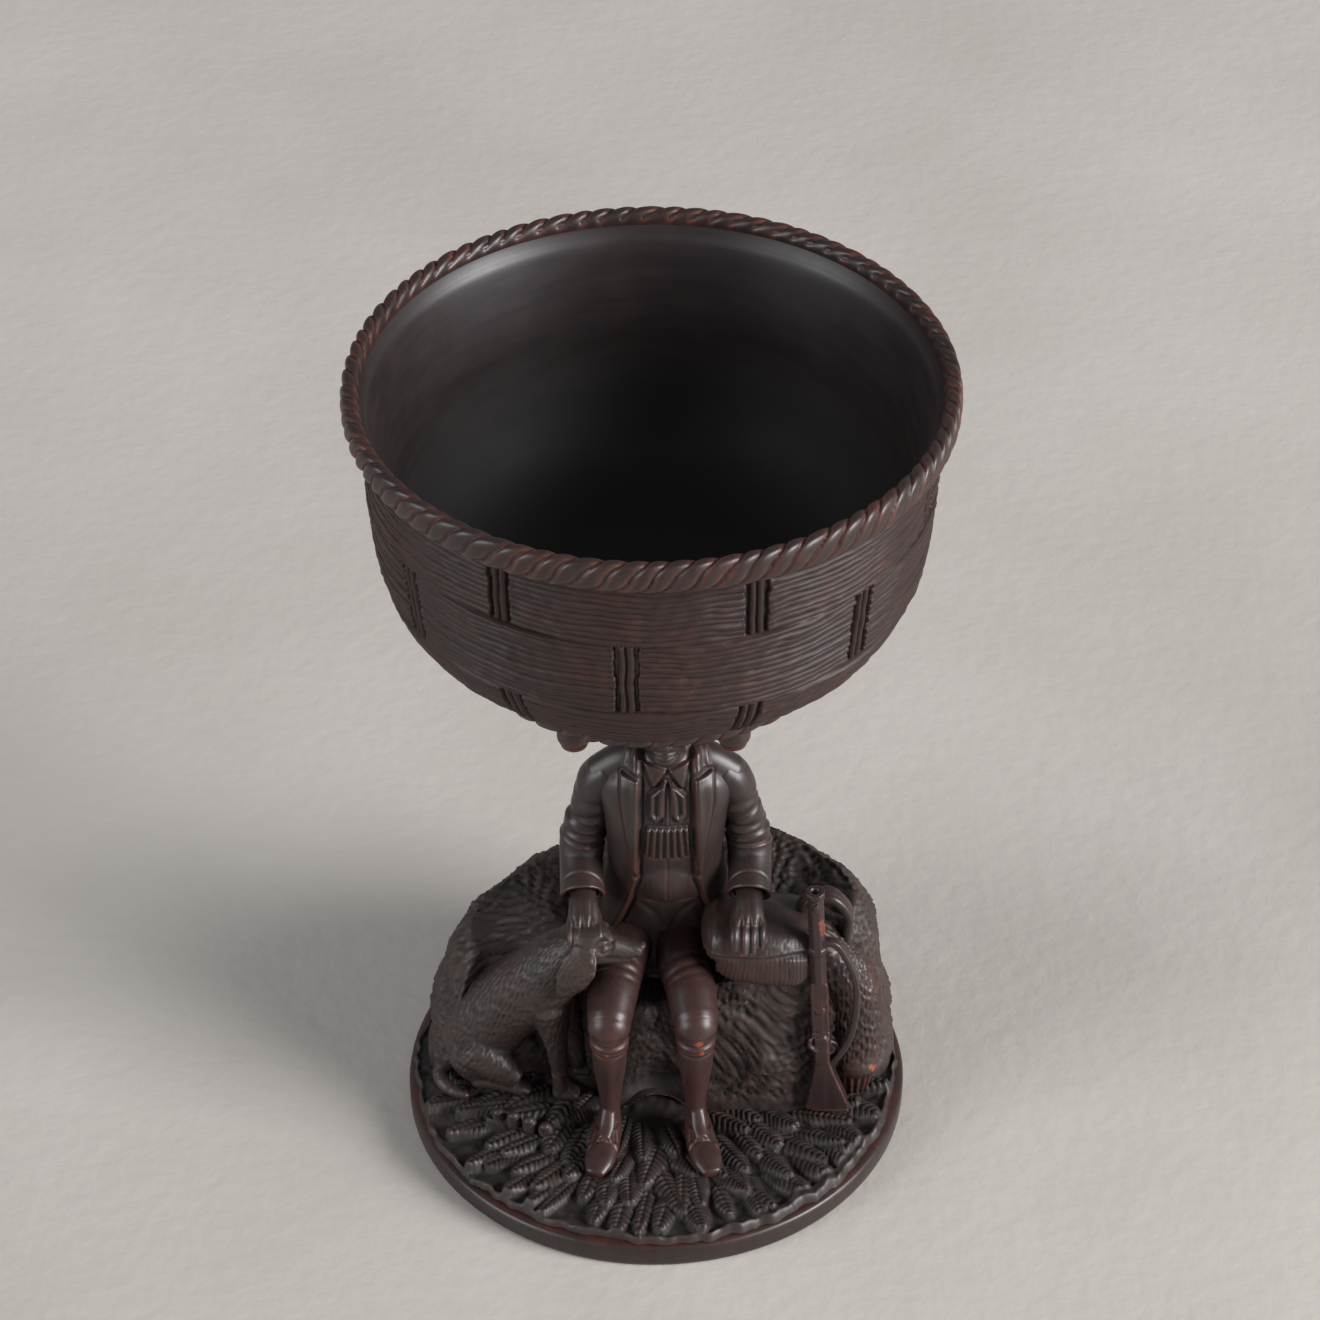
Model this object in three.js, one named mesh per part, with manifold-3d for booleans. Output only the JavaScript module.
// Carved wooden goblet: a basket-shaped bowl carried on the hat of a seated hunter, whose hound, game bag and
// rifle rest beside him against a rock, the whole on a turned plinth. Millimetres, +Z up, the hunter faces -Y.
// The origin is the centre of the plinth's underside, on the bowl's turning axis.
import * as THREE from "three";
import { mergeVertices } from "three/addons/utils/BufferGeometryUtils.js";
import Module from "manifold-3d";

const wasm = await Module();
wasm.setup();

const radians = (degrees) => (degrees * Math.PI) / 180;

// Joints: the gap left round a glued or pinned piece
const SEAT_GAP = 0.3;

// Plinth, and the ground and rock that stand on it
const PLINTH_RADIUS = 53.7;
const PLINTH_THICKNESS = 5.5;
const PLINTH_EDGE_ROUND = 0.9;
const GROUND_MARGIN = 1.2;
const GROUND_THICKNESS = 2.2;
const SEAT_HEIGHT = 28;
// The rock round the sitter: compass angle from his left hand, reach of its foot, reach and height of its crest
const ROCK_OUTLINE = [
  { angle: 0, foot: 51, crest: 42, height: 45 },
  { angle: 45, foot: 48, crest: 33, height: 46 },
  { angle: 90, foot: 47, crest: 28, height: 43 },
  { angle: 135, foot: 47, crest: 31, height: 41 },
  { angle: 180, foot: 49, crest: 39, height: 38 },
  { angle: 225, foot: 26, crest: 19, height: 30 },
  { angle: 270, foot: 13, crest: 9, height: 25 },
  { angle: 315, foot: 22, crest: 17, height: 34 },
];

// The hollow in the rock's front where the hound sits
const ALCOVE_HALF_WIDTH = 22;
const ALCOVE_HALF_DEPTH = 13;
const ALCOVE_BEFORE = 8;

// Screws that hold the rock to the plinth from below
const SCREW_ANGLES = [90, 172, 335];
const SCREW_CIRCLE_RADIUS = 20;
const SCREW_HEAD_RADIUS = 3.2;
const SCREW_HEAD_HEIGHT = 2.2;
const SCREW_SINK = 0.6;
const SCREW_SHANK_RADIUS = 1.5;
const SCREW_LENGTH = 14;
const SCREW_SLOT_WIDTH = 0.8;
const SCREW_SLOT_DEPTH = 0.9;

// Dowels: one pins the hunter to the rock, one runs from his chest through head and hat into the bowl
const SEAT_DOWEL_RADIUS = 3;
const SEAT_DOWEL_IN_ROCK = 10;
const SEAT_DOWEL_IN_HUNTER = 10;
const BOWL_DOWEL_RADIUS = 2.6;
const BOWL_DOWEL_IN_CHEST = 14;
const BOWL_DOWEL_IN_BOWL = 3;

// Hunter: his middle stands a little to the right of the bowl's axis, and his knees lean to his right
const FIGURE_OFFSET = 2.3;
const LEG_LEAN = 3;
const SITTING_HEIGHT = 62.3;
const HIP_HALF_WIDTH = 14.2;
const HIP_HALF_DEPTH = 10.4;
const HIP_BEHIND = 8;
const WAIST_HEIGHT = 30;
const WAIST_HALF_WIDTH = 10.6;
const WAIST_HALF_DEPTH = 8.2;
const WAIST_BEHIND = 3.4;
const CHEST_HEIGHT = 45;
const CHEST_HALF_WIDTH = 11.4;
const CHEST_HALF_DEPTH = 8.6;
const SHOULDER_HEIGHT = 54;
const SHOULDER_HALF_WIDTH = 13.4;
const SHOULDER_HALF_DEPTH = 7;
const COLLAR_RISE = 5.5;
const COLLAR_HALF_WIDTH = 7;
const COLLAR_HALF_DEPTH = 5.6;
const COAT_THICKNESS = 1.2;
const COAT_HEM_HEIGHT = 13;
const COAT_OPENING_AT_NECK = 3.4;
const COAT_OPENING_AT_CHEST = 6.4;
const COAT_OPENING_AT_HEM = 9.4;
const LAPEL_WIDTH = 5;
const LAPEL_THICKNESS = 0.9;
const TIE_HALF_WIDTH = 2.6;
const TIE_LENGTH = 17;

// Head and hat
const HEAD_HEIGHT = 21;
const HEAD_HALF_WIDTH = 7.2;
const HEAD_HALF_DEPTH = 8.6;
const NECK_RADIUS = 4.6;
const HAT_ABOVE_CHIN = 14.3;
const HAT_HEIGHT = 21.6;
const HAT_CROWN_RADIUS = 9.6;
const HAT_TOP_RADIUS = 8.4;
const HAT_BRIM_RADIUS = 15.6;
const HAT_BRIM_THICKNESS = 1.6;
const HAT_BRIM_CURL = 2.4;

// Arms and hands
const SHOULDER_OUT = 13.4;
const ELBOW_OUT = 17.2;
const ELBOW_HEIGHT = 33;
const ELBOW_BEHIND = 4;
const WRIST_OUT = 17.6;
const WRIST_HEIGHT = 26.5;
const WRIST_BEFORE = 6;
const SLEEVE_RADIUS = 5.1;
const CUFF_RADIUS = 4.5;
const CUFF_LENGTH = 3.2;
const PALM_LENGTH = 5.5;
const PALM_HALF_WIDTH = 4;
const PALM_HALF_THICKNESS = 2;
const FINGER_COUNT = 4;
const FINGER_RADIUS = 1.1;
const FINGER_LENGTH = 7;

// Legs and shoes
const HIP_OUT = 5.6;
const KNEE_OUT = 9.3;
const KNEE_BEFORE = 22.3;
const KNEE_HEIGHT = 5;
const FOOT_OUT = 9.4;
const FOOT_SPLAY = 3.2;
const THIGH_RADIUS = 6.2;
const KNEE_RADIUS = 5;
const GARTER_RADIUS = 4.7;
const CALF_RADIUS = 4.3;
const ANKLE_RADIUS = 2.5;
const ANKLE_HEIGHT = 6;
const SHOE_HALF_WIDTH = 3.6;
const SHOE_HALF_HEIGHT = 2.3;
const SHOE_LENGTH = 17;
const SHOE_HEEL_BEHIND = 3.5;

// Hound: it sits at the hunter's right, its muzzle laid on his thigh
const HOUND_OUT = 30;
const HOUND_BEFORE = 10;
const HOUND_RUMP_RADIUS = 9.6;
const HOUND_CHEST_RADIUS = 8.8;
const HOUND_CHEST_HEIGHT = 33;
const HOUND_NECK_RADIUS = 6.4;
const HOUND_HEAD_RADIUS = 5.4;
const HOUND_HEAD_HEIGHT = 48;
const HOUND_MUZZLE_RADIUS = 3;
const HOUND_MUZZLE_REACH = 24;
const HOUND_EAR_LENGTH = 10;
const HOUND_EAR_HALF_WIDTH = 3;
const HOUND_EAR_HALF_THICKNESS = 1;
const HOUND_LEG_RADIUS = 2.6;
const HOUND_THIGH_RADIUS = 8;
const HOUND_PAW_RADIUS = 2.2;
const HOUND_TAIL_RADIUS = 1.9;

// Game bag under the hunter's left hand: a pouch on the rock whose end hangs down to the ground
const BAG_OUT = 22;
const BAG_BEFORE = 6.5;
const BAG_HEIGHT = 44;
const BAG_HALF_DEPTH = 9.6;
const BAG_HALF_HEIGHT = 6.4;
const BAG_LENGTH = 19;
const BAG_TAIL_OUT = 42.5;
const BAG_TAIL_RADIUS = 5.6;
const BAG_FLAP_WIDTH = 16;
const BAG_FLAP_THICKNESS = 0.9;
const FRINGE_COUNT = 8;
const FRINGE_LENGTH = 5;
const STRAP_RADIUS = 1.5;
const STRAP_RISE = 8;

// Rifle: it stands on its butt before the bag and leans back against it
const RIFLE_OUT = 36;
const RIFLE_BEFORE = 16;
const RIFLE_LEAN_BACK = 3.4;
const RIFLE_LEAN_IN = 2.6;
const BREECH_RISE = 7;
const BARREL_LENGTH = 42;
const BARREL_RADIUS = 1.9;
const STOCK_THICKNESS = 3.6;
const BUTT_WIDTH = 10.4;
const BUTT_LENGTH = 12;
const STOCK_WRIST_WIDTH = 3;
const FOREND_LENGTH = 36;
const FOREND_WIDTH = 3.8;
const SLING_HALF_WIDTH = 1.1;
const SLING_HALF_THICKNESS = 0.6;
const SLING_BOW = 7;
const SLING_TOP = 50;
const SLING_BOTTOM = 15;

// Bowl: a turned basket shape with a rope moulding at the rim and a separate rope ring with knob feet below
const BOWL_HEIGHT = 57.5;
const BOWL_NECK_RADIUS = 56.1;
const BOWL_BELLY_RADIUS = 53.5;
const BOWL_BELLY_HEIGHT = 18.5;
const BOWL_TURN_RADIUS = 50.8;
const BOWL_TURN_HEIGHT = 8;
const BOWL_WALL = 3;
const BOWL_FLOOR = 5;
const BOWL_FLOOR_RADIUS = 37;
const RIM_ROPE_HEIGHT = 6.2;
const RIM_ROPE_WIDTH = 3.4;
const RIM_ROPE_RADIUS = 60;
const BAND_HEIGHTS = [15, 17.5];
const BAND_GROOVE = 0.6;
const ROPE_RING_RADIUS = 38.3;
const ROPE_RING_HEIGHT = 0.9;
const ROPE_RING_HALF = 2.7;
const ROPE_SEAT_END = radians(38);
const KNOB_COUNT = 7;
const KNOB_CIRCLE_RADIUS = 36;
const KNOB_RADIUS = 3.4;
const KNOB_DROP = 7.4;
const BOWL_FACETS = 44;

// Levels that follow from the sizes above
const GROUND_TOP = PLINTH_THICKNESS + SEAT_GAP + GROUND_THICKNESS;
const SEAT_TOP = GROUND_TOP + SEAT_HEIGHT;
const HAT_BASE = SITTING_HEIGHT + HAT_ABOVE_CHIN;
const HAT_TOP = HAT_BASE + HAT_HEIGHT;
const COLLAR_HEIGHT = SHOULDER_HEIGHT + COLLAR_RISE;
const RIFLE_LENGTH = BUTT_LENGTH + BREECH_RISE + BARREL_LENGTH;

// Places of the assemblies
const at = (x, y, z) => new THREE.Vector3(x, y, z);
const BASE_PLACE = at(0, 0, 0);
const HUNTER_PLACE = at(FIGURE_OFFSET, 0, SEAT_TOP);
const HOUND_PLACE = at(-HOUND_OUT, -HOUND_BEFORE, GROUND_TOP);
const BAG_PLACE = at(0, 0, GROUND_TOP);
const RIFLE_PLACE = at(RIFLE_OUT, -RIFLE_BEFORE, GROUND_TOP + SEAT_GAP);
const BOWL_PLACE = at(0, 0, SEAT_TOP + HAT_TOP + SEAT_GAP);

// Finishes: dark stained wood, redder where it is handled, plain wood for dowels and steel for hidden screws
const STAINED = { color: 0x3a2622, roughness: 0.42, metalness: 0 };
const RUBBED = { color: 0x4a2a22, roughness: 0.36, metalness: 0 };
const EARTHY = { color: 0x2f2723, roughness: 0.62, metalness: 0 };
const PLAIN = { color: 0x8a6a48, roughness: 0.7, metalness: 0 };
const STEEL = { color: 0x9a9a98, roughness: 0.4, metalness: 1 };

/** A closed skin over rings of equally many points, with a flat cap on the first and the last ring. */
function skin(rings) {
  const sides = rings[0].length;
  const points = rings.flat();
  const faces = [];
  for (let i = 0; i + 1 < rings.length; i++) {
    for (let j = 0; j < sides; j++) {
      const a = i * sides + j;
      const b = i * sides + ((j + 1) % sides);
      faces.push(a, b, b + sides, a, b + sides, a + sides);
    }
  }
  const last = (rings.length - 1) * sides;
  for (let j = 1; j + 1 < sides; j++) {
    faces.push(0, j + 1, j);
    faces.push(last, last + j, last + j + 1);
  }
  const geometry = new THREE.BufferGeometry().setFromPoints(points);
  geometry.setIndex(faces);
  return geometry;
}

/** A closed geometry as a solid with its faces turned outwards. */
function solid(geometry) {
  const bare = geometry.clone();
  bare.deleteAttribute("normal");
  bare.deleteAttribute("uv");
  const merged = mergeVertices(bare, 1e-4);
  const vertProperties = new Float32Array(merged.attributes.position.array);
  const triVerts = new Uint32Array(merged.index.array);
  const made = new wasm.Manifold(new wasm.Mesh({ numProp: 3, vertProperties, triVerts }));
  if (made.volume() > 0) return made;
  const turned = triVerts.slice().reverse();
  return new wasm.Manifold(new wasm.Mesh({ numProp: 3, vertProperties, triVerts: turned }));
}

const joined = (solids) => solids.reduce((whole, next) => whole.add(next));
const cut = (body, tools) => tools.reduce((left, tool) => left.subtract(tool), body);
/** A solid of one assembly as it lies in the frame of another. */
const carried = (body, from, to) => body.translate(from.clone().sub(to).toArray());
const biggest = (body) => body.decompose().sort((a, b) => b.volume() - a.volume())[0];

/** A solid as a named mesh. */
function piece(name, body, finish) {
  const { vertProperties, triVerts } = biggest(body).getMesh();
  const geometry = new THREE.BufferGeometry();
  geometry.setAttribute("position", new THREE.BufferAttribute(new Float32Array(vertProperties), 3));
  geometry.setIndex(new THREE.BufferAttribute(new Uint32Array(triVerts), 1));
  geometry.computeVertexNormals();
  const mesh = new THREE.Mesh(geometry, new THREE.MeshStandardMaterial(finish));
  mesh.name = name;
  return mesh;
}

function assembly(place, pieces) {
  const group = new THREE.Group();
  group.position.copy(place);
  group.add(...pieces);
  return group;
}

const revolved = (profile, segments) => solid(new THREE.LatheGeometry(profile, segments).rotateX(Math.PI / 2));
const pair = (r, z) => new THREE.Vector2(r, z);

/** An upright cylinder or cone from one level to another. */
function upright(radius, low, high, { x = 0, y = 0, topRadius = radius, sides = 14 } = {}) {
  const bar = new THREE.CylinderGeometry(topRadius, radius, high - low, sides).rotateX(Math.PI / 2);
  return solid(bar.translate(x, y, (low + high) / 2));
}

function ellipsoid([x, y, z], [halfX, halfY, halfZ], sides = 11) {
  const ball = new THREE.SphereGeometry(1, sides, Math.ceil(sides * 0.6)).rotateX(Math.PI / 2);
  return solid(ball.scale(halfX, halfY, halfZ).translate(x, y, z));
}

/**
 * A rounded limb carried along a smooth path. Each station is [x, y, z, half width, half depth], the width lies
 * along `across`, and `grow` makes the same limb that much fatter all round, to cut its seat in a neighbour.
 */
function limb(stations, { grow = 0, sides = 9, steps = 2, across = at(1, 0, 0), square = 2 } = {}) {
  const path = new THREE.CatmullRomCurve3(stations.map(([x, y, z]) => at(x, y, z)));
  const halves = new THREE.CatmullRomCurve3(stations.map(([, , , width, depth]) => at(width, depth, 0)));
  const count = (stations.length - 1) * steps;
  const capReach = 0.5;
  const capShare = 0.6;
  const rounding = (v) => Math.sign(v) * Math.abs(v) ** (2 / square);
  const ring = (u, reach, share) => {
    const along = path.getTangent(u);
    const wide = across.clone().addScaledVector(along, -across.dot(along)).normalize();
    const deep = new THREE.Vector3().crossVectors(along, wide);
    const half = halves.getPoint(u);
    const middle = path.getPoint(u).addScaledVector(along, reach * (Math.min(half.x, half.y) + grow));
    return Array.from({ length: sides }, (_, j) => {
      const turn = (2 * Math.PI * j) / sides;
      const point = middle.clone().addScaledVector(wide, rounding(Math.cos(turn)) * (half.x + grow) * share);
      return point.addScaledVector(deep, rounding(Math.sin(turn)) * (half.y + grow) * share);
    });
  };
  const body = Array.from({ length: count + 1 }, (_, i) => ring(i / count, 0, 1));
  return solid(skin([ring(0, -capReach, capShare), ...body, ring(1, capReach, capShare)]));
}

/** A flat outline in x and z, extruded through y. */
function slab(shape, front, back, curveSegments = 6) {
  const plate = new THREE.ExtrudeGeometry(shape, { depth: back - front, bevelEnabled: false, curveSegments });
  return solid(plate.rotateX(Math.PI / 2).translate(0, back, 0));
}

const outline = (points) => new THREE.Shape(points.map(([x, z]) => pair(x, z)));

// Plinth, screws, ground and rock

function screwPlaces() {
  return SCREW_ANGLES.map((angle) => ({
    x: SCREW_CIRCLE_RADIUS * Math.cos(radians(angle)),
    y: SCREW_CIRCLE_RADIUS * Math.sin(radians(angle)),
  }));
}

function screw(place, grow = 0) {
  const neck = SCREW_SINK + SCREW_HEAD_HEIGHT;
  const headLow = grow > 0 ? -1 : SCREW_SINK;
  const head = upright(SCREW_HEAD_RADIUS + grow, headLow, SCREW_SINK + grow, place);
  const taper = { ...place, topRadius: SCREW_SHANK_RADIUS + grow };
  const cone = upright(SCREW_HEAD_RADIUS + grow, SCREW_SINK + grow, neck + grow, taper);
  const shank = upright(SCREW_SHANK_RADIUS + grow, neck - grow, SCREW_SINK + SCREW_LENGTH + grow, place);
  return grow > 0 ? joined([head, cone, shank]) : joined([cone, shank]);
}

function slottedScrew(place) {
  const slot = new THREE.BoxGeometry(3 * SCREW_HEAD_RADIUS, SCREW_SLOT_WIDTH, 2 * SCREW_SLOT_DEPTH);
  return screw(place).subtract(solid(slot.translate(place.x, place.y, SCREW_SINK)));
}

function plinth() {
  const round = PLINTH_EDGE_ROUND;
  const edge = new THREE.Path().moveTo(0, 0).lineTo(PLINTH_RADIUS - round, 0);
  edge.absarc(PLINTH_RADIUS - round, round, round, -Math.PI / 2, 0);
  edge.lineTo(PLINTH_RADIUS, PLINTH_THICKNESS - round);
  edge.absarc(PLINTH_RADIUS - round, PLINTH_THICKNESS - round, round, 0, Math.PI / 2);
  edge.lineTo(0, PLINTH_THICKNESS);
  return cut(revolved(edge.getPoints(1), 44), screwPlaces().map((place) => screw(place, SEAT_GAP)));
}

/** The rock's outline at an angle, read from a closed smooth curve through the rows of ROCK_OUTLINE. */
function rockAt(share) {
  const rows = ROCK_OUTLINE.map(({ foot, crest, height }) => at(foot, crest, height));
  return new THREE.CatmullRomCurve3(rows, true).getPoint(share);
}

function alcove() {
  const bar = new THREE.CylinderGeometry(1, 1, 4 * SEAT_HEIGHT, 18).rotateX(Math.PI / 2);
  const oval = bar.scale(ALCOVE_HALF_WIDTH, ALCOVE_HALF_DEPTH, 1);
  return solid(oval.translate(HOUND_PLACE.x, HOUND_PLACE.y - ALCOVE_BEFORE, GROUND_TOP));
}

/** Ground and rock: a low disc, and a mass whose flanks rise from foot to crest and dip to the seat inside. */
function rockAndGround() {
  const sides = 30;
  const low = PLINTH_THICKNESS + SEAT_GAP;
  const levels = [
    { out: 0, up: 0 },
    { out: 0.12, up: 0.3 },
    { out: 0.34, up: 0.62 },
    { out: 0.66, up: 0.9 },
    { out: 1, up: 1 },
  ];
  const ringAt = (reachAndHeight) =>
    Array.from({ length: sides }, (_, j) => {
      const { x: foot, y: crest, z: height } = rockAt(j / sides);
      const { reach, up } = reachAndHeight(foot, crest, height);
      const turn = (2 * Math.PI * j) / sides;
      return at(reach * Math.cos(turn), reach * Math.sin(turn), up);
    });
  const rings = [ringAt((foot) => ({ reach: foot, up: low }))];
  for (const { out, up } of levels) {
    rings.push(
      ringAt((foot, crest, height) => ({ reach: foot + out * (crest - foot), up: GROUND_TOP + up * height })),
    );
  }
  const inner = 0.5;
  rings.push(
    ringAt((foot, crest, height) => ({
      reach: crest * inner,
      up: GROUND_TOP + inner * height + (1 - inner) * SEAT_HEIGHT,
    })),
  );
  const ground = upright(PLINTH_RADIUS - GROUND_MARGIN, low, GROUND_TOP, { sides: 44 });
  return solid(skin(rings)).subtract(alcove()).add(ground);
}

// Hunter, in his own frame: x towards his left, y behind him, z above the seat

const TORSO_STATIONS = [
  [0, HIP_BEHIND, 2, HIP_HALF_WIDTH, HIP_HALF_DEPTH],
  [0, HIP_BEHIND - 1, COAT_HEM_HEIGHT, HIP_HALF_WIDTH - 1, HIP_HALF_DEPTH - 0.6],
  [0, WAIST_BEHIND, WAIST_HEIGHT, WAIST_HALF_WIDTH, WAIST_HALF_DEPTH],
  [0, WAIST_BEHIND - 1.8, CHEST_HEIGHT, CHEST_HALF_WIDTH, CHEST_HALF_DEPTH],
  [0, 1, SHOULDER_HEIGHT, SHOULDER_HALF_WIDTH, SHOULDER_HALF_DEPTH],
  [0, 1, COLLAR_HEIGHT, COLLAR_HALF_WIDTH, COLLAR_HALF_DEPTH],
];

const torsoBody = (grow) => limb(TORSO_STATIONS, { grow, sides: 12, square: 2.3 });

/** One half of the gap between the coat's front edges, from the middle of the chest to its edge. */
const OPENING_EDGE = [
  [COAT_OPENING_AT_NECK, SITTING_HEIGHT],
  [COAT_OPENING_AT_CHEST, CHEST_HEIGHT],
  [COAT_OPENING_AT_HEM, COAT_HEM_HEIGHT + 8],
  [COAT_OPENING_AT_HEM, -SEAT_HEIGHT],
];

function coat() {
  const front = -3 * CHEST_HALF_DEPTH;
  const gap = outline([...OPENING_EDGE, ...OPENING_EDGE.map(([x, z]) => [-x, z]).reverse()]);
  const below = new THREE.BoxGeometry(6 * HIP_HALF_WIDTH, 6 * HIP_HALF_DEPTH, 2 * SEAT_HEIGHT);
  const hem = solid(below.translate(0, 0, COAT_HEM_HEIGHT - SEAT_HEIGHT));
  return cut(torsoBody(COAT_THICKNESS), [slab(gap, front, WAIST_BEHIND), hem]);
}

function lapels() {
  const top = SHOULDER_HEIGHT + 2;
  const strip = (side) =>
    outline([
      [side * (COAT_OPENING_AT_NECK + 1), top],
      [side * (COAT_OPENING_AT_NECK + LAPEL_WIDTH), top],
      [side * (COAT_OPENING_AT_CHEST + LAPEL_WIDTH), CHEST_HEIGHT + 1],
      [side * (COAT_OPENING_AT_CHEST + LAPEL_WIDTH - 1.4), CHEST_HEIGHT - 2],
      [side * (COAT_OPENING_AT_HEM - 1.6), WAIST_HEIGHT],
      [side * COAT_OPENING_AT_CHEST, CHEST_HEIGHT],
    ]);
  const shell = torsoBody(COAT_THICKNESS + LAPEL_THICKNESS);
  const strips = [-1, 1].map((side) => slab(strip(side), -3 * CHEST_HALF_DEPTH, 0));
  return shell.intersect(joined(strips));
}

function tie() {
  const top = SHOULDER_HEIGHT + 2;
  const face = WAIST_BEHIND - 1.8 - CHEST_HALF_DEPTH;
  const knot = ellipsoid([0, face + 2, top], [2, 2.2, 2], 10);
  const loops = [-1, 1].map((side) =>
    limb(
      [
        [side * 0.6, face + 1.2, top - 1, 0.8, 1],
        [side * 2.2, face + 0.4, top - 4, 1, 1],
        [side * 1.6, face + 0.2, top - 7.5, 0.8, 1],
      ],
      { sides: 8 },
    ),
  );
  const tail = limb(
    [
      [0, face + 0.4, top - 7, TIE_HALF_WIDTH * 0.6, 1],
      [0, face + 0.4, top - 0.7 * TIE_LENGTH, TIE_HALF_WIDTH, 1.1],
      [0, face + 1, top - TIE_LENGTH, TIE_HALF_WIDTH * 1.15, 1],
    ],
    { sides: 8, square: 3 },
  );
  return joined([knot, ...loops, tail]);
}

const NECK_STATIONS = [
  [0, 1, SHOULDER_HEIGHT - 2, NECK_RADIUS, NECK_RADIUS],
  [0, 0.4, SITTING_HEIGHT - 1, NECK_RADIUS, NECK_RADIUS],
  [0, 0, SITTING_HEIGHT + 0.35 * HEAD_HEIGHT, NECK_RADIUS, NECK_RADIUS],
];

/** Neck and head, with plain features: brow, nose, chin and ears of ordinary proportions. */
function head(grow = 0) {
  const middle = SITTING_HEIGHT + HEAD_HEIGHT / 2;
  const half = HEAD_HEIGHT / 2;
  const shares = { brow: 0.18, nose: -0.05 };
  const skull = ellipsoid(
    [0, 0.6, middle + 0.08 * half],
    [HEAD_HALF_WIDTH + grow, HEAD_HALF_DEPTH + grow, 0.92 * half + grow],
    10,
  );
  const jaw = ellipsoid(
    [0, -0.34 * HEAD_HALF_DEPTH, middle - 0.5 * half],
    [0.68 * HEAD_HALF_WIDTH + grow, 0.52 * HEAD_HALF_DEPTH + grow, 0.5 * half + grow],
    8,
  );
  const nose = limb(
    [
      [0, -0.86 * HEAD_HALF_DEPTH, middle + shares.brow * half, 0.8, 0.8],
      [0, -1.02 * HEAD_HALF_DEPTH, middle + shares.nose * half, 1.2, 1.1],
    ],
    { grow, sides: 8 },
  );
  const ears = [-1, 1].map((side) =>
    ellipsoid([side * HEAD_HALF_WIDTH, 1, middle], [0.8 + grow, 1.6 + grow, 2.6 + grow], 8),
  );
  return joined([limb(NECK_STATIONS, { grow }), skull, jaw, nose, ...ears]);
}

/** A soft felt hat: a crown that narrows to the bowl, and a brim whose edge curls up. */
function hat() {
  const brim = HAT_BASE + HAT_BRIM_THICKNESS;
  const profile = [
    pair(0, HAT_BASE - 1),
    pair(HAT_CROWN_RADIUS, HAT_BASE - 0.4),
    pair(0.5 * (HAT_CROWN_RADIUS + HAT_BRIM_RADIUS), HAT_BASE + 0.2),
    pair(HAT_BRIM_RADIUS - 0.6, HAT_BASE + HAT_BRIM_CURL),
    pair(HAT_BRIM_RADIUS, HAT_BASE + HAT_BRIM_CURL + 1),
    pair(HAT_BRIM_RADIUS - 1.2, HAT_BASE + HAT_BRIM_CURL + 1.4),
    pair(0.5 * (HAT_CROWN_RADIUS + HAT_BRIM_RADIUS), brim + 0.2),
    pair(HAT_CROWN_RADIUS, brim + 0.6),
    pair(HAT_CROWN_RADIUS - 0.3, brim + 3.4),
    pair(HAT_CROWN_RADIUS + 0.2, brim + 4),
    pair(0.5 * (HAT_CROWN_RADIUS + HAT_TOP_RADIUS), HAT_BASE + 0.7 * HAT_HEIGHT),
    pair(HAT_TOP_RADIUS, HAT_TOP - 1),
    pair(HAT_TOP_RADIUS - 1, HAT_TOP),
    pair(0, HAT_TOP),
  ];
  return revolved(profile, 18);
}

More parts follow.
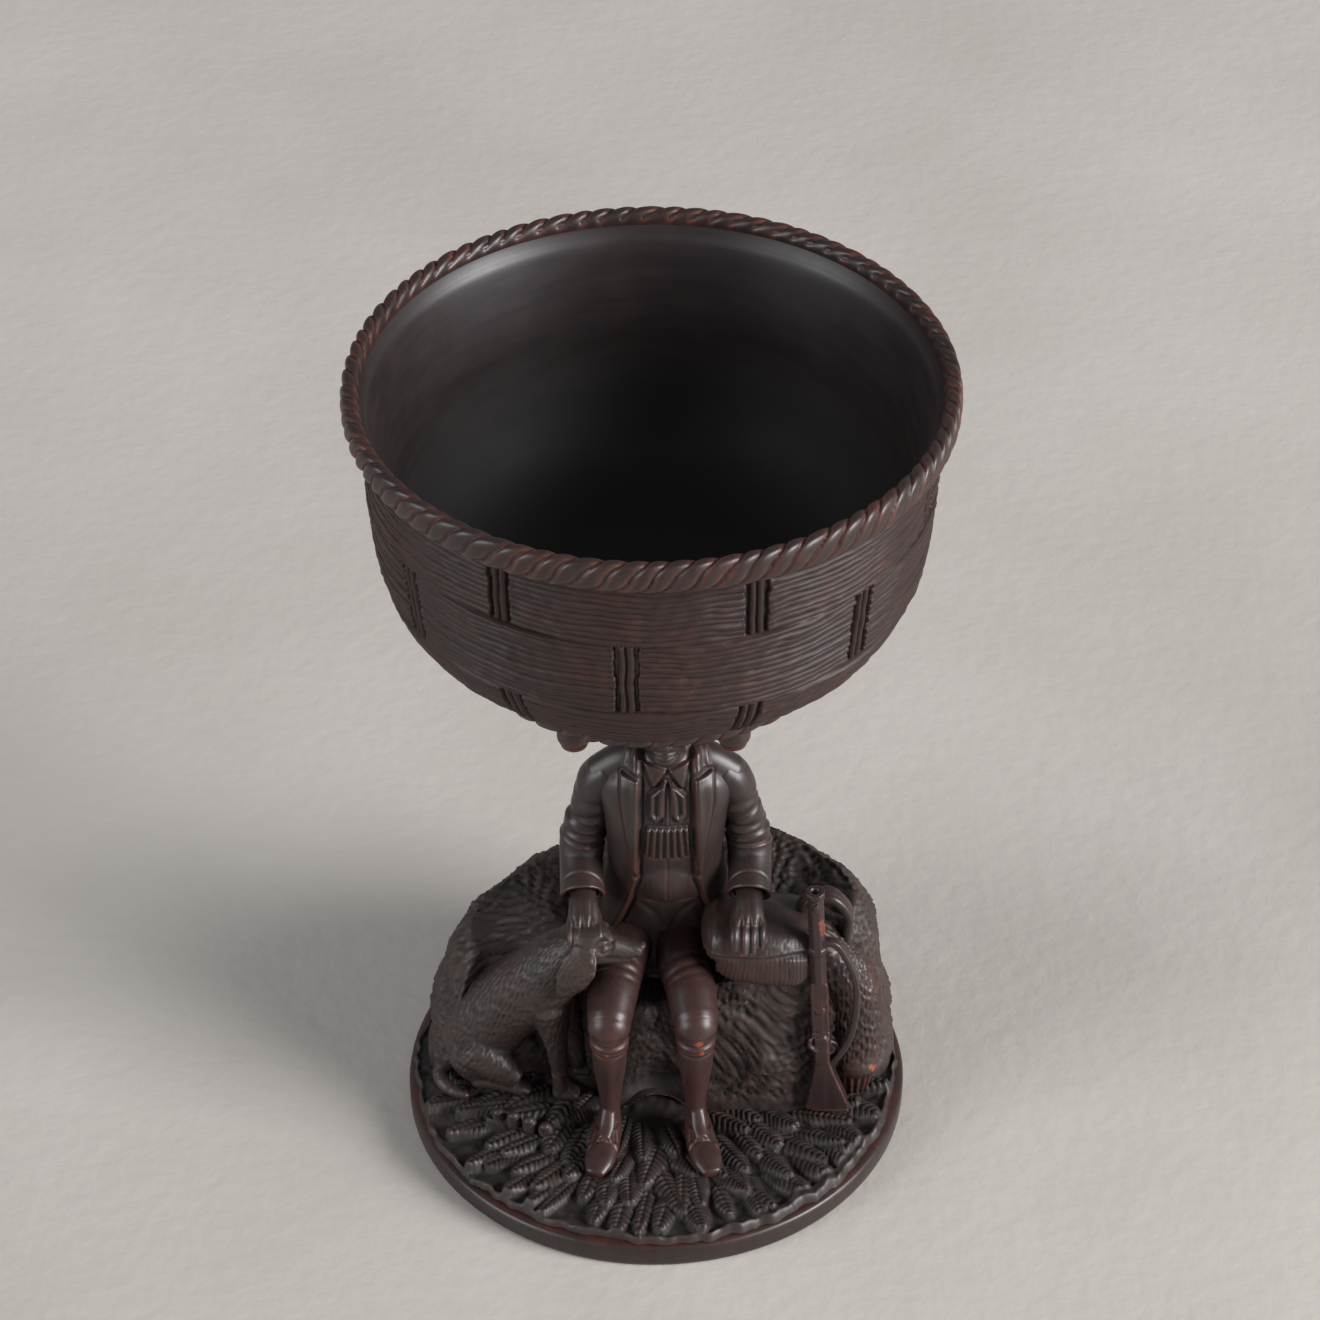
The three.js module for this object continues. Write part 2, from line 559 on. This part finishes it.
/** An arm with turned cuff and a hand laid flat. Side is 1 for the hunter's left. */
function arm(side) {
  const x = (out) => side * out;
  const middle = (a, b) => 0.5 * (a + b);
  const sleeve = limb([
    [x(SHOULDER_OUT), 1.6, SHOULDER_HEIGHT + 0.4, SLEEVE_RADIUS, SLEEVE_RADIUS],
    [
      x(middle(SHOULDER_OUT, ELBOW_OUT) + 0.8),
      3,
      middle(SHOULDER_HEIGHT, ELBOW_HEIGHT),
      SLEEVE_RADIUS,
      SLEEVE_RADIUS,
    ],
    [x(ELBOW_OUT), ELBOW_BEHIND, ELBOW_HEIGHT, SLEEVE_RADIUS, SLEEVE_RADIUS],
    [
      x(middle(ELBOW_OUT, WRIST_OUT)),
      -0.4 * WRIST_BEFORE,
      middle(ELBOW_HEIGHT, WRIST_HEIGHT) - 1.6,
      CUFF_RADIUS,
      CUFF_RADIUS,
    ],
    [x(WRIST_OUT), -WRIST_BEFORE, WRIST_HEIGHT, CUFF_RADIUS - 0.4, CUFF_RADIUS - 0.4],
  ]);
  const cuff = limb([
    [x(WRIST_OUT), -WRIST_BEFORE + 0.4 * CUFF_LENGTH, WRIST_HEIGHT + 0.5, CUFF_RADIUS, CUFF_RADIUS],
    [x(WRIST_OUT), -WRIST_BEFORE - 0.6 * CUFF_LENGTH, WRIST_HEIGHT - 0.4, CUFF_RADIUS, CUFF_RADIUS],
  ]);
  const knuckles = -WRIST_BEFORE - CUFF_LENGTH - PALM_LENGTH;
  const palm = limb([
    [x(WRIST_OUT), -WRIST_BEFORE - 0.5 * CUFF_LENGTH, WRIST_HEIGHT, 0.7 * PALM_HALF_WIDTH, PALM_HALF_THICKNESS],
    [x(WRIST_OUT), knuckles, WRIST_HEIGHT - 1.6, PALM_HALF_WIDTH, PALM_HALF_THICKNESS],
  ]);
  const pitch = (2 * PALM_HALF_WIDTH) / FINGER_COUNT;
  const fingers = Array.from({ length: FINGER_COUNT }, (_, i) => {
    const across = x(WRIST_OUT) + (i - (FINGER_COUNT - 1) / 2) * pitch;
    const reach = FINGER_LENGTH * (i === 0 || i === FINGER_COUNT - 1 ? 0.86 : 1);
    return limb(
      [
        [across, knuckles + 0.6, WRIST_HEIGHT - 1.6, FINGER_RADIUS, FINGER_RADIUS],
        [across, knuckles - 0.5 * reach, WRIST_HEIGHT - 3.2, FINGER_RADIUS, FINGER_RADIUS],
        [across, knuckles - 0.8 * reach, WRIST_HEIGHT - 6, 0.85 * FINGER_RADIUS, 0.85 * FINGER_RADIUS],
      ],
      { sides: 6, steps: 1 },
    );
  });
  const thumb = limb(
    [
      [x(WRIST_OUT - 0.6 * PALM_HALF_WIDTH), -WRIST_BEFORE - CUFF_LENGTH, WRIST_HEIGHT - 1.4, 1.2, 1.2],
      [x(WRIST_OUT - 1.2 * PALM_HALF_WIDTH), knuckles + 0.8, WRIST_HEIGHT - 3, 1, 1],
    ],
    { sides: 8 },
  );
  return joined([sleeve, cuff, palm, thumb, ...fingers]);
}

/** A bent leg in knee breeches, stocking and low shoe. Side is 1 for the hunter's left. */
function leg(side, grow = 0) {
  const x = (out) => side * out - LEG_LEAN;
  const ground = -SEAT_HEIGHT;
  const options = { grow };
  const ankle = ground + ANKLE_HEIGHT;
  const garter = KNEE_HEIGHT - KNEE_RADIUS;
  const thigh = limb(
    [
      [side * HIP_OUT - 0.5 * LEG_LEAN, 3, KNEE_HEIGHT + 3, THIGH_RADIUS, THIGH_RADIUS],
      [x(0.5 * (HIP_OUT + KNEE_OUT)), -0.5 * KNEE_BEFORE, KNEE_HEIGHT + 2.6, THIGH_RADIUS, THIGH_RADIUS],
      [x(KNEE_OUT), -KNEE_BEFORE, KNEE_HEIGHT, KNEE_RADIUS, KNEE_RADIUS],
    ],
    options,
  );
  const shin = limb(
    [
      [x(KNEE_OUT), -KNEE_BEFORE, KNEE_HEIGHT, KNEE_RADIUS, KNEE_RADIUS],
      [x(KNEE_OUT), -KNEE_BEFORE, garter, GARTER_RADIUS, GARTER_RADIUS],
      [x(KNEE_OUT), -KNEE_BEFORE + 0.4, 0.55 * garter + 0.45 * ankle, CALF_RADIUS, CALF_RADIUS],
      [x(FOOT_OUT), -KNEE_BEFORE, ankle, ANKLE_RADIUS, ANKLE_RADIUS],
      [x(FOOT_OUT), -KNEE_BEFORE, ground + SHOE_HALF_HEIGHT, ANKLE_RADIUS, ANKLE_RADIUS],
    ],
    options,
  );
  const heel = -KNEE_BEFORE + SHOE_HEEL_BEHIND;
  const sole = ground + SHOE_HALF_HEIGHT + SEAT_GAP;
  const shoe = limb(
    [
      [x(FOOT_OUT), heel, sole, 0.75 * SHOE_HALF_WIDTH, SHOE_HALF_HEIGHT],
      [
        x(FOOT_OUT + 0.3 * FOOT_SPLAY),
        heel - 0.4 * SHOE_LENGTH,
        sole + 0.2 * SHOE_HALF_HEIGHT,
        0.9 * SHOE_HALF_WIDTH,
        1.2 * SHOE_HALF_HEIGHT,
      ],
      [
        x(FOOT_OUT + 0.7 * FOOT_SPLAY),
        heel - 0.75 * SHOE_LENGTH,
        sole - 0.1 * SHOE_HALF_HEIGHT,
        SHOE_HALF_WIDTH,
        0.9 * SHOE_HALF_HEIGHT,
      ],
      [
        x(FOOT_OUT + FOOT_SPLAY),
        heel - SHOE_LENGTH,
        sole - 0.4 * SHOE_HALF_HEIGHT,
        0.6 * SHOE_HALF_WIDTH,
        0.6 * SHOE_HALF_HEIGHT,
      ],
    ],
    options,
  );
  return joined([thigh, shin, shoe]);
}

// Hound, in its own frame: x towards the hunter, y behind, z above the ground

function hound(grow = 0) {
  const round = { grow, sides: 11, across: at(0, 1, 0) };
  const chest = HOUND_CHEST_HEIGHT;
  const crown = HOUND_HEAD_HEIGHT;
  const trunk = limb(
    [
      [-8, 5, 9, HOUND_RUMP_RADIUS * 0.8, HOUND_RUMP_RADIUS * 0.85],
      [-5, 4, 16, HOUND_RUMP_RADIUS * 0.9, HOUND_RUMP_RADIUS],
      [0, 2, 0.75 * chest, HOUND_CHEST_RADIUS, HOUND_CHEST_RADIUS],
      [6.5, -1, chest, HOUND_CHEST_RADIUS * 0.92, HOUND_CHEST_RADIUS],
      [11, -3, chest + 0.62 * (crown - chest), HOUND_NECK_RADIUS, HOUND_NECK_RADIUS],
      [16, -4, crown, HOUND_HEAD_RADIUS, HOUND_HEAD_RADIUS],
    ],
    round,
  );
  const muzzle = limb(
    [
      [16, -4, crown, HOUND_HEAD_RADIUS * 0.9, HOUND_HEAD_RADIUS * 0.85],
      [20.5, -4, crown - 1, HOUND_MUZZLE_RADIUS * 1.2, HOUND_MUZZLE_RADIUS * 1.2],
      [HOUND_MUZZLE_REACH, -4, crown - 1.8, HOUND_MUZZLE_RADIUS * 0.9, HOUND_MUZZLE_RADIUS],
    ],
    { ...round, sides: 9 },
  );
  const earWide = HOUND_EAR_HALF_WIDTH;
  const earThick = HOUND_EAR_HALF_THICKNESS;
  const cheek = -4 - HOUND_HEAD_RADIUS;
  const ear = limb(
    [
      [14.5, cheek + 0.8, crown + 2, 0.7 * earWide, earThick],
      [12.5, cheek - 0.8, crown - 0.5 * HOUND_EAR_LENGTH, earWide, earThick],
      [10.5, cheek - 0.5, crown - HOUND_EAR_LENGTH, 0.6 * earWide, earThick],
    ],
    { grow, sides: 8 },
  );
  const forelegs = [-5.5, 2.5].map((y) =>
    limb(
      [
        [8.5, y, chest - 2, HOUND_LEG_RADIUS * 1.7, HOUND_LEG_RADIUS * 1.5],
        [9, y - 0.5, 0.45 * chest, HOUND_LEG_RADIUS, HOUND_LEG_RADIUS],
        [9.2, y, HOUND_PAW_RADIUS, HOUND_LEG_RADIUS, HOUND_LEG_RADIUS],
        [12, y, HOUND_PAW_RADIUS - 0.4, HOUND_PAW_RADIUS, HOUND_PAW_RADIUS],
      ],
      { grow, sides: 8, across: at(0, 1, 0) },
    ),
  );
  const thigh = ellipsoid(
    [-5, -1.5, 9],
    [HOUND_THIGH_RADIUS + grow, 0.75 * HOUND_THIGH_RADIUS + grow, HOUND_THIGH_RADIUS + grow],
  );
  const hindFoot = limb(
    [
      [-7, -4.5, HOUND_PAW_RADIUS, HOUND_PAW_RADIUS, HOUND_PAW_RADIUS],
      [1.5, -5, HOUND_PAW_RADIUS - 0.2, HOUND_PAW_RADIUS, HOUND_PAW_RADIUS],
    ],
    { grow, sides: 8, across: at(0, 1, 0) },
  );
  const tail = limb(
    [
      [-13, 4, 5, HOUND_TAIL_RADIUS * 1.3, HOUND_TAIL_RADIUS * 1.3],
      [-17, 0, HOUND_TAIL_RADIUS, HOUND_TAIL_RADIUS, HOUND_TAIL_RADIUS],
      [-15.5, -6, HOUND_TAIL_RADIUS - 0.2, HOUND_TAIL_RADIUS, HOUND_TAIL_RADIUS],
      [-9.5, -9.5, HOUND_TAIL_RADIUS - 0.4, HOUND_TAIL_RADIUS * 0.7, HOUND_TAIL_RADIUS * 0.7],
    ],
    { grow, sides: 8, across: at(0, 0, 1) },
  );
  return joined([trunk, muzzle, ear, ...forelegs, thigh, hindFoot, tail]);
}

// Game bag and its strap, in the frame of the ground

const BAG_STATIONS = [
  [BAG_OUT - 0.45 * BAG_LENGTH, -BAG_BEFORE, BAG_HEIGHT + 1.5, 0.9 * BAG_HALF_DEPTH, 0.85 * BAG_HALF_HEIGHT],
  [BAG_OUT, -BAG_BEFORE, BAG_HEIGHT, BAG_HALF_DEPTH, BAG_HALF_HEIGHT],
  [
    BAG_OUT + 0.55 * BAG_LENGTH,
    -BAG_BEFORE + 1.5,
    BAG_HEIGHT - 0.55 * BAG_HALF_HEIGHT,
    0.88 * BAG_HALF_DEPTH,
    1.1 * BAG_HALF_HEIGHT,
  ],
  [BAG_TAIL_OUT - 1.5, -BAG_BEFORE + 1, 0.65 * BAG_HEIGHT, BAG_TAIL_RADIUS + 1, BAG_TAIL_RADIUS + 0.6],
  [BAG_TAIL_OUT, -BAG_BEFORE - 0.5, 0.35 * BAG_HEIGHT, BAG_TAIL_RADIUS, BAG_TAIL_RADIUS],
  [BAG_TAIL_OUT, -BAG_BEFORE - 1.5, BAG_TAIL_RADIUS - 1, 0.8 * BAG_TAIL_RADIUS, 0.75 * BAG_TAIL_RADIUS],
];

const bagBody = (grow) => limb(BAG_STATIONS, { grow, sides: 10, across: at(0, 1, 0), square: 2.3 });

/** The flap over the front of the pouch, and the row of tassels along its lower edge. */
function flapAndFringe() {
  const left = BAG_OUT - 0.42 * BAG_FLAP_WIDTH - 1;
  const hem = BAG_HEIGHT - 1;
  const depth = 3 * BAG_HALF_DEPTH;
  const box = new THREE.BoxGeometry(BAG_FLAP_WIDTH, depth, depth);
  const window = solid(box.translate(left + BAG_FLAP_WIDTH / 2, -BAG_BEFORE - depth / 2, hem + depth / 2));
  const flap = bagBody(BAG_FLAP_THICKNESS).intersect(window);
  const pitch = BAG_FLAP_WIDTH / FRINGE_COUNT;
  const front = -BAG_BEFORE - BAG_HALF_DEPTH;
  const fringe = Array.from({ length: FRINGE_COUNT }, (_, i) => {
    const x = left + (i + 0.5) * pitch;
    return limb(
      [
        [x, front, hem + 1, 0.42 * pitch, 0.9],
        [x, front + 0.8, hem - FRINGE_LENGTH, 0.3 * pitch, 0.7],
      ],
      { sides: 6, steps: 1 },
    );
  });
  return joined([flap, ...fringe]);
}

const gameBag = (grow = 0) => bagBody(grow).add(flapAndFringe());

function bagStrap(grow = 0) {
  const foot = BAG_HEIGHT + 0.5 * BAG_HALF_HEIGHT;
  const right = BAG_OUT + 0.9 * BAG_LENGTH;
  return limb(
    [
      [right - 9, -BAG_BEFORE + 3, foot, STRAP_RADIUS, STRAP_RADIUS],
      [right - 7, -BAG_BEFORE + 1, foot + 0.7 * STRAP_RISE, STRAP_RADIUS, STRAP_RADIUS],
      [right - 2, -BAG_BEFORE, foot + STRAP_RISE, STRAP_RADIUS, STRAP_RADIUS],
      [right + 1.5, -BAG_BEFORE, foot + 0.3 * STRAP_RISE, STRAP_RADIUS, STRAP_RADIUS],
      [right + 1, -BAG_BEFORE + 0.5, foot - 0.8 * STRAP_RISE, STRAP_RADIUS, STRAP_RADIUS],
    ],
    { grow, sides: 8, across: at(0, 1, 0) },
  );
}

// Rifle, in its own frame: z along the barrel from the butt, y behind

const leaning = (body) => body.rotate([-RIFLE_LEAN_BACK, -RIFLE_LEAN_IN, 0]);

function rifleBarrel(grow = 0) {
  const bore = new THREE.CylinderGeometry(BARREL_RADIUS + grow, BARREL_RADIUS + grow, BARREL_LENGTH, 8);
  const turned = bore.rotateY(Math.PI / 8).rotateX(Math.PI / 2);
  const tube = solid(turned.translate(0, 0, RIFLE_LENGTH - BARREL_LENGTH / 2));
  const sight = new THREE.BoxGeometry(0.8 + 2 * grow, 2 * BARREL_RADIUS, 2 + grow);
  return tube.add(solid(sight.translate(0, -0.5 * BARREL_RADIUS, RIFLE_LENGTH - 2.5)));
}

function rifleStock(grow = 0) {
  const half = BUTT_WIDTH / 2 + grow;
  const grip = STOCK_WRIST_WIDTH / 2;
  const wrist = grip + grow;
  const forend = FOREND_WIDTH / 2 + grow;
  const wristUp = BUTT_LENGTH + 2.5;
  const side = new THREE.Shape();
  side.moveTo(-half + 0.6, -grow).lineTo(half, -grow);
  side.quadraticCurveTo(wrist + 0.8, BUTT_LENGTH, wrist, wristUp);
  side.lineTo(forend, wristUp + 4).lineTo(forend, wristUp + FOREND_LENGTH * 0.6);
  side.lineTo(forend * 0.8, wristUp + FOREND_LENGTH * 0.6 + 1 + grow);
  side.lineTo(-forend * 0.8, wristUp + FOREND_LENGTH * 0.6 + 1 + grow);
  side.lineTo(-forend, wristUp + FOREND_LENGTH * 0.6).lineTo(-forend, wristUp + 4);
  side.lineTo(-wrist, wristUp);
  side.quadraticCurveTo(-half + 1.6, BUTT_LENGTH * 0.8, -half, 1);
  const thick = STOCK_THICKNESS / 2 + grow;
  const guard = limb(
    [
      [grip - 0.2, 0, wristUp - 0.5, 0.7, 0.7],
      [grip + 2, 0, wristUp + 2, 0.7, 0.7],
      [grip + 0.4, 0, wristUp + 4.6, 0.7, 0.7],
    ],
    { grow, sides: 6, across: at(0, 1, 0) },
  );
  return slab(side, -thick, thick).add(guard);
}

function rifleSling() {
  return limb(
    [
      [0.6, 0, SLING_TOP, SLING_HALF_WIDTH, SLING_HALF_THICKNESS],
      [0.7 * SLING_BOW, -0.6, SLING_TOP - 3, SLING_HALF_WIDTH, SLING_HALF_THICKNESS],
      [SLING_BOW, -0.8, 0.5 * (SLING_TOP + SLING_BOTTOM), SLING_HALF_WIDTH, SLING_HALF_THICKNESS],
      [0.8 * SLING_BOW, -0.6, SLING_BOTTOM + 5, SLING_HALF_WIDTH, SLING_HALF_THICKNESS],
      [0.8, 0, SLING_BOTTOM, SLING_HALF_WIDTH, SLING_HALF_THICKNESS],
    ],
    { sides: 8, steps: 3, across: at(0, 1, 0), square: 4 },
  );
}

// Bowl and its rope ring, in the bowl's frame: z above its underside

/** The bowl's wall: foot, belly, three bands parted by grooves, rope moulding, then the smooth inside. */
function bowl() {
  const ropeLow = BOWL_HEIGHT - RIM_ROPE_HEIGHT;
  const underside = Math.PI + Math.asin(ROPE_RING_HEIGHT / (ROPE_RING_HALF + SEAT_GAP));
  const seat = ropeSection(SEAT_GAP, underside, ROPE_SEAT_END, 5);
  const lower = new THREE.QuadraticBezierCurve(
    seat.at(-1),
    pair(BOWL_TURN_RADIUS, BOWL_TURN_HEIGHT),
    pair(BOWL_BELLY_RADIUS, BOWL_BELLY_HEIGHT),
  );
  const upper = new THREE.QuadraticBezierCurve(
    pair(BOWL_BELLY_RADIUS, BOWL_BELLY_HEIGHT),
    pair(BOWL_NECK_RADIUS, 0.5 * (BOWL_BELLY_HEIGHT + ropeLow)),
    pair(BOWL_NECK_RADIUS, ropeLow),
  );
  const outside = [...lower.getPoints(4).slice(1), ...upper.getPoints(4).slice(1)];
  const grooves = [ropeLow - BAND_HEIGHTS[0], ropeLow - BAND_HEIGHTS[0] - BAND_HEIGHTS[1]];
  const wall = outside.map((point) => {
    const near = Math.min(...grooves.map((level) => Math.abs(level - point.y)));
    return pair(point.x - BAND_GROOVE * Math.exp(-near * near), point.y);
  });
  const rope = new THREE.EllipseCurve(
    RIM_ROPE_RADIUS - RIM_ROPE_WIDTH / 2,
    BOWL_HEIGHT - RIM_ROPE_HEIGHT / 2,
    RIM_ROPE_WIDTH / 2,
    RIM_ROPE_HEIGHT / 2,
    -0.4 * Math.PI,
    Math.PI,
  );
  const mouth = RIM_ROPE_RADIUS - RIM_ROPE_WIDTH;
  const inside = new THREE.CubicBezierCurve(
    pair(BOWL_NECK_RADIUS - 0.7 * BOWL_WALL, ropeLow),
    pair(BOWL_NECK_RADIUS - BOWL_WALL, 0.5 * (BOWL_BELLY_HEIGHT + ropeLow)),
    pair(BOWL_BELLY_RADIUS - 0.6 * BOWL_WALL, BOWL_FLOOR + 1),
    pair(BOWL_FLOOR_RADIUS, BOWL_FLOOR),
  );
  const profile = [
    pair(0, 0),
    ...seat,
    ...wall,
    ...rope.getPoints(5),
    pair(mouth, BOWL_HEIGHT - RIM_ROPE_HEIGHT * 0.75),
    ...inside.getPoints(6),
    pair(0, BOWL_FLOOR),
  ];
  return revolved(profile, BOWL_FACETS);
}

/** A stretch of the rope ring's round section, from one angle to another. */
function ropeSection(grow, from, to, points) {
  const half = ROPE_RING_HALF + grow;
  const arc = new THREE.EllipseCurve(ROPE_RING_RADIUS, ROPE_RING_HEIGHT, half, half, from, to, to < from);
  return arc.getPoints(points);
}

const ropeRing = () => revolved(ropeSection(0, -Math.PI, Math.PI, 8), BOWL_FACETS);

function knobs() {
  return Array.from({ length: KNOB_COUNT }, (_, k) => {
    const turn = (2 * Math.PI * (k + 0.5)) / KNOB_COUNT - Math.PI / 2;
    const x = KNOB_CIRCLE_RADIUS * Math.cos(turn);
    const y = KNOB_CIRCLE_RADIUS * Math.sin(turn);
    const half = 0.5 * (KNOB_DROP - SEAT_GAP);
    return ellipsoid([x, y, half - KNOB_DROP], [KNOB_RADIUS, KNOB_RADIUS, half], 8);
  });
}

// Assembly: each piece is cut by the grown form of the neighbour that seats in it or against it

const houndCutter = (to) => carried(hound(SEAT_GAP), HOUND_PLACE, to);
const bagCutter = (to) => carried(gameBag(SEAT_GAP), BAG_PLACE, to);
const strapCutter = (to) => carried(bagStrap(SEAT_GAP), BAG_PLACE, to);
const legCutter = (side, to) => carried(leg(side, SEAT_GAP), HUNTER_PLACE, to);
const torsoCutter = (to) => carried(torsoBody(COAT_THICKNESS + SEAT_GAP), HUNTER_PLACE, to);
const rifleCutter = (to) => carried(leaning(rifleStock(SEAT_GAP).add(rifleBarrel(SEAT_GAP))), RIFLE_PLACE, to);

const seatDowel = (grow) =>
  upright(SEAT_DOWEL_RADIUS + grow, -SEAT_DOWEL_IN_ROCK - grow, SEAT_DOWEL_IN_HUNTER + grow, { y: HIP_BEHIND });
const bowlDowelLow = SHOULDER_HEIGHT - BOWL_DOWEL_IN_CHEST;
const bowlDowelHigh = HAT_TOP + SEAT_GAP + BOWL_DOWEL_IN_BOWL;
const bowlDowel = (grow) =>
  upright(BOWL_DOWEL_RADIUS + grow, bowlDowelLow - grow, bowlDowelHigh + grow, { y: 1 });

const base = assembly(BASE_PLACE, [
  piece("plinth", plinth(), RUBBED),
  piece(
    "rock_and_ground",
    cut(rockAndGround(), [
      torsoCutter(BASE_PLACE),
      legCutter(-1, BASE_PLACE),
      legCutter(1, BASE_PLACE),
      houndCutter(BASE_PLACE),
      bagCutter(BASE_PLACE),
      strapCutter(BASE_PLACE),
      rifleCutter(BASE_PLACE),
      carried(seatDowel(SEAT_GAP), HUNTER_PLACE, BASE_PLACE),
      ...screwPlaces().map((place) => screw(place, SEAT_GAP)),
    ]),
    EARTHY,
  ),
  ...screwPlaces().map((place, i) => piece(`plinth_screw_${i + 1}`, slottedScrew(place), STEEL)),
]);

const torso = joined([torsoBody(0), coat(), lapels(), tie()]);
const hunter = assembly(HUNTER_PLACE, [
  piece("hunter_torso", cut(torso, [head(SEAT_GAP), seatDowel(SEAT_GAP), bowlDowel(SEAT_GAP)]), STAINED),
  piece("hunter_head", head().subtract(bowlDowel(SEAT_GAP)), STAINED),
  piece("hunter_hat", cut(hat(), [head(SEAT_GAP), bowlDowel(SEAT_GAP)]), STAINED),
  ...[-1, 1].map((side) => {
    const name = side < 0 ? "hunter_right_arm" : "hunter_left_arm";
    const tools = [
      torsoBody(COAT_THICKNESS + LAPEL_THICKNESS + SEAT_GAP),
      side < 0 ? houndCutter(HUNTER_PLACE) : bagCutter(HUNTER_PLACE),
    ];
    return piece(name, cut(arm(side), tools), STAINED);
  }),
  ...[-1, 1].map((side) => {
    const name = side < 0 ? "hunter_right_leg" : "hunter_left_leg";
    const tools = [torsoBody(COAT_THICKNESS + SEAT_GAP), bagCutter(HUNTER_PLACE)];
    return piece(name, cut(leg(side), tools), RUBBED);
  }),
  piece("seat_dowel", seatDowel(0), PLAIN),
  piece("bowl_dowel", bowlDowel(0), PLAIN),
]);

const dog = assembly(HOUND_PLACE, [
  piece("hound", cut(hound(), [legCutter(-1, HOUND_PLACE), torsoCutter(HOUND_PLACE)]), STAINED),
]);

const gear = assembly(BAG_PLACE, [
  piece("game_bag", cut(gameBag(), [torsoCutter(BAG_PLACE), rifleCutter(BAG_PLACE)]), STAINED),
  piece("bag_strap", cut(bagStrap(), [bagCutter(BAG_PLACE), rifleCutter(BAG_PLACE)]), STAINED),
]);

const rifle = assembly(RIFLE_PLACE, [
  piece("rifle_stock", leaning(rifleStock().subtract(rifleBarrel(SEAT_GAP))), RUBBED),
  piece("rifle_barrel", leaning(rifleBarrel()), STAINED),
  piece(
    "rifle_sling",
    cut(leaning(rifleSling().subtract(rifleStock(SEAT_GAP).add(rifleBarrel(SEAT_GAP)))), [
      bagCutter(RIFLE_PLACE),
      strapCutter(RIFLE_PLACE),
    ]),
    STAINED,
  ),
]);

const cup = assembly(BOWL_PLACE, [
  piece("basket_bowl", bowl().subtract(carried(bowlDowel(SEAT_GAP), HUNTER_PLACE, BOWL_PLACE)), STAINED),
  piece("foot_rope_ring", joined([ropeRing(), ...knobs()]), RUBBED),
]);

const goblet = new THREE.Group();
goblet.add(base, hunter, dog, gear, rifle, cup);
export default goblet;
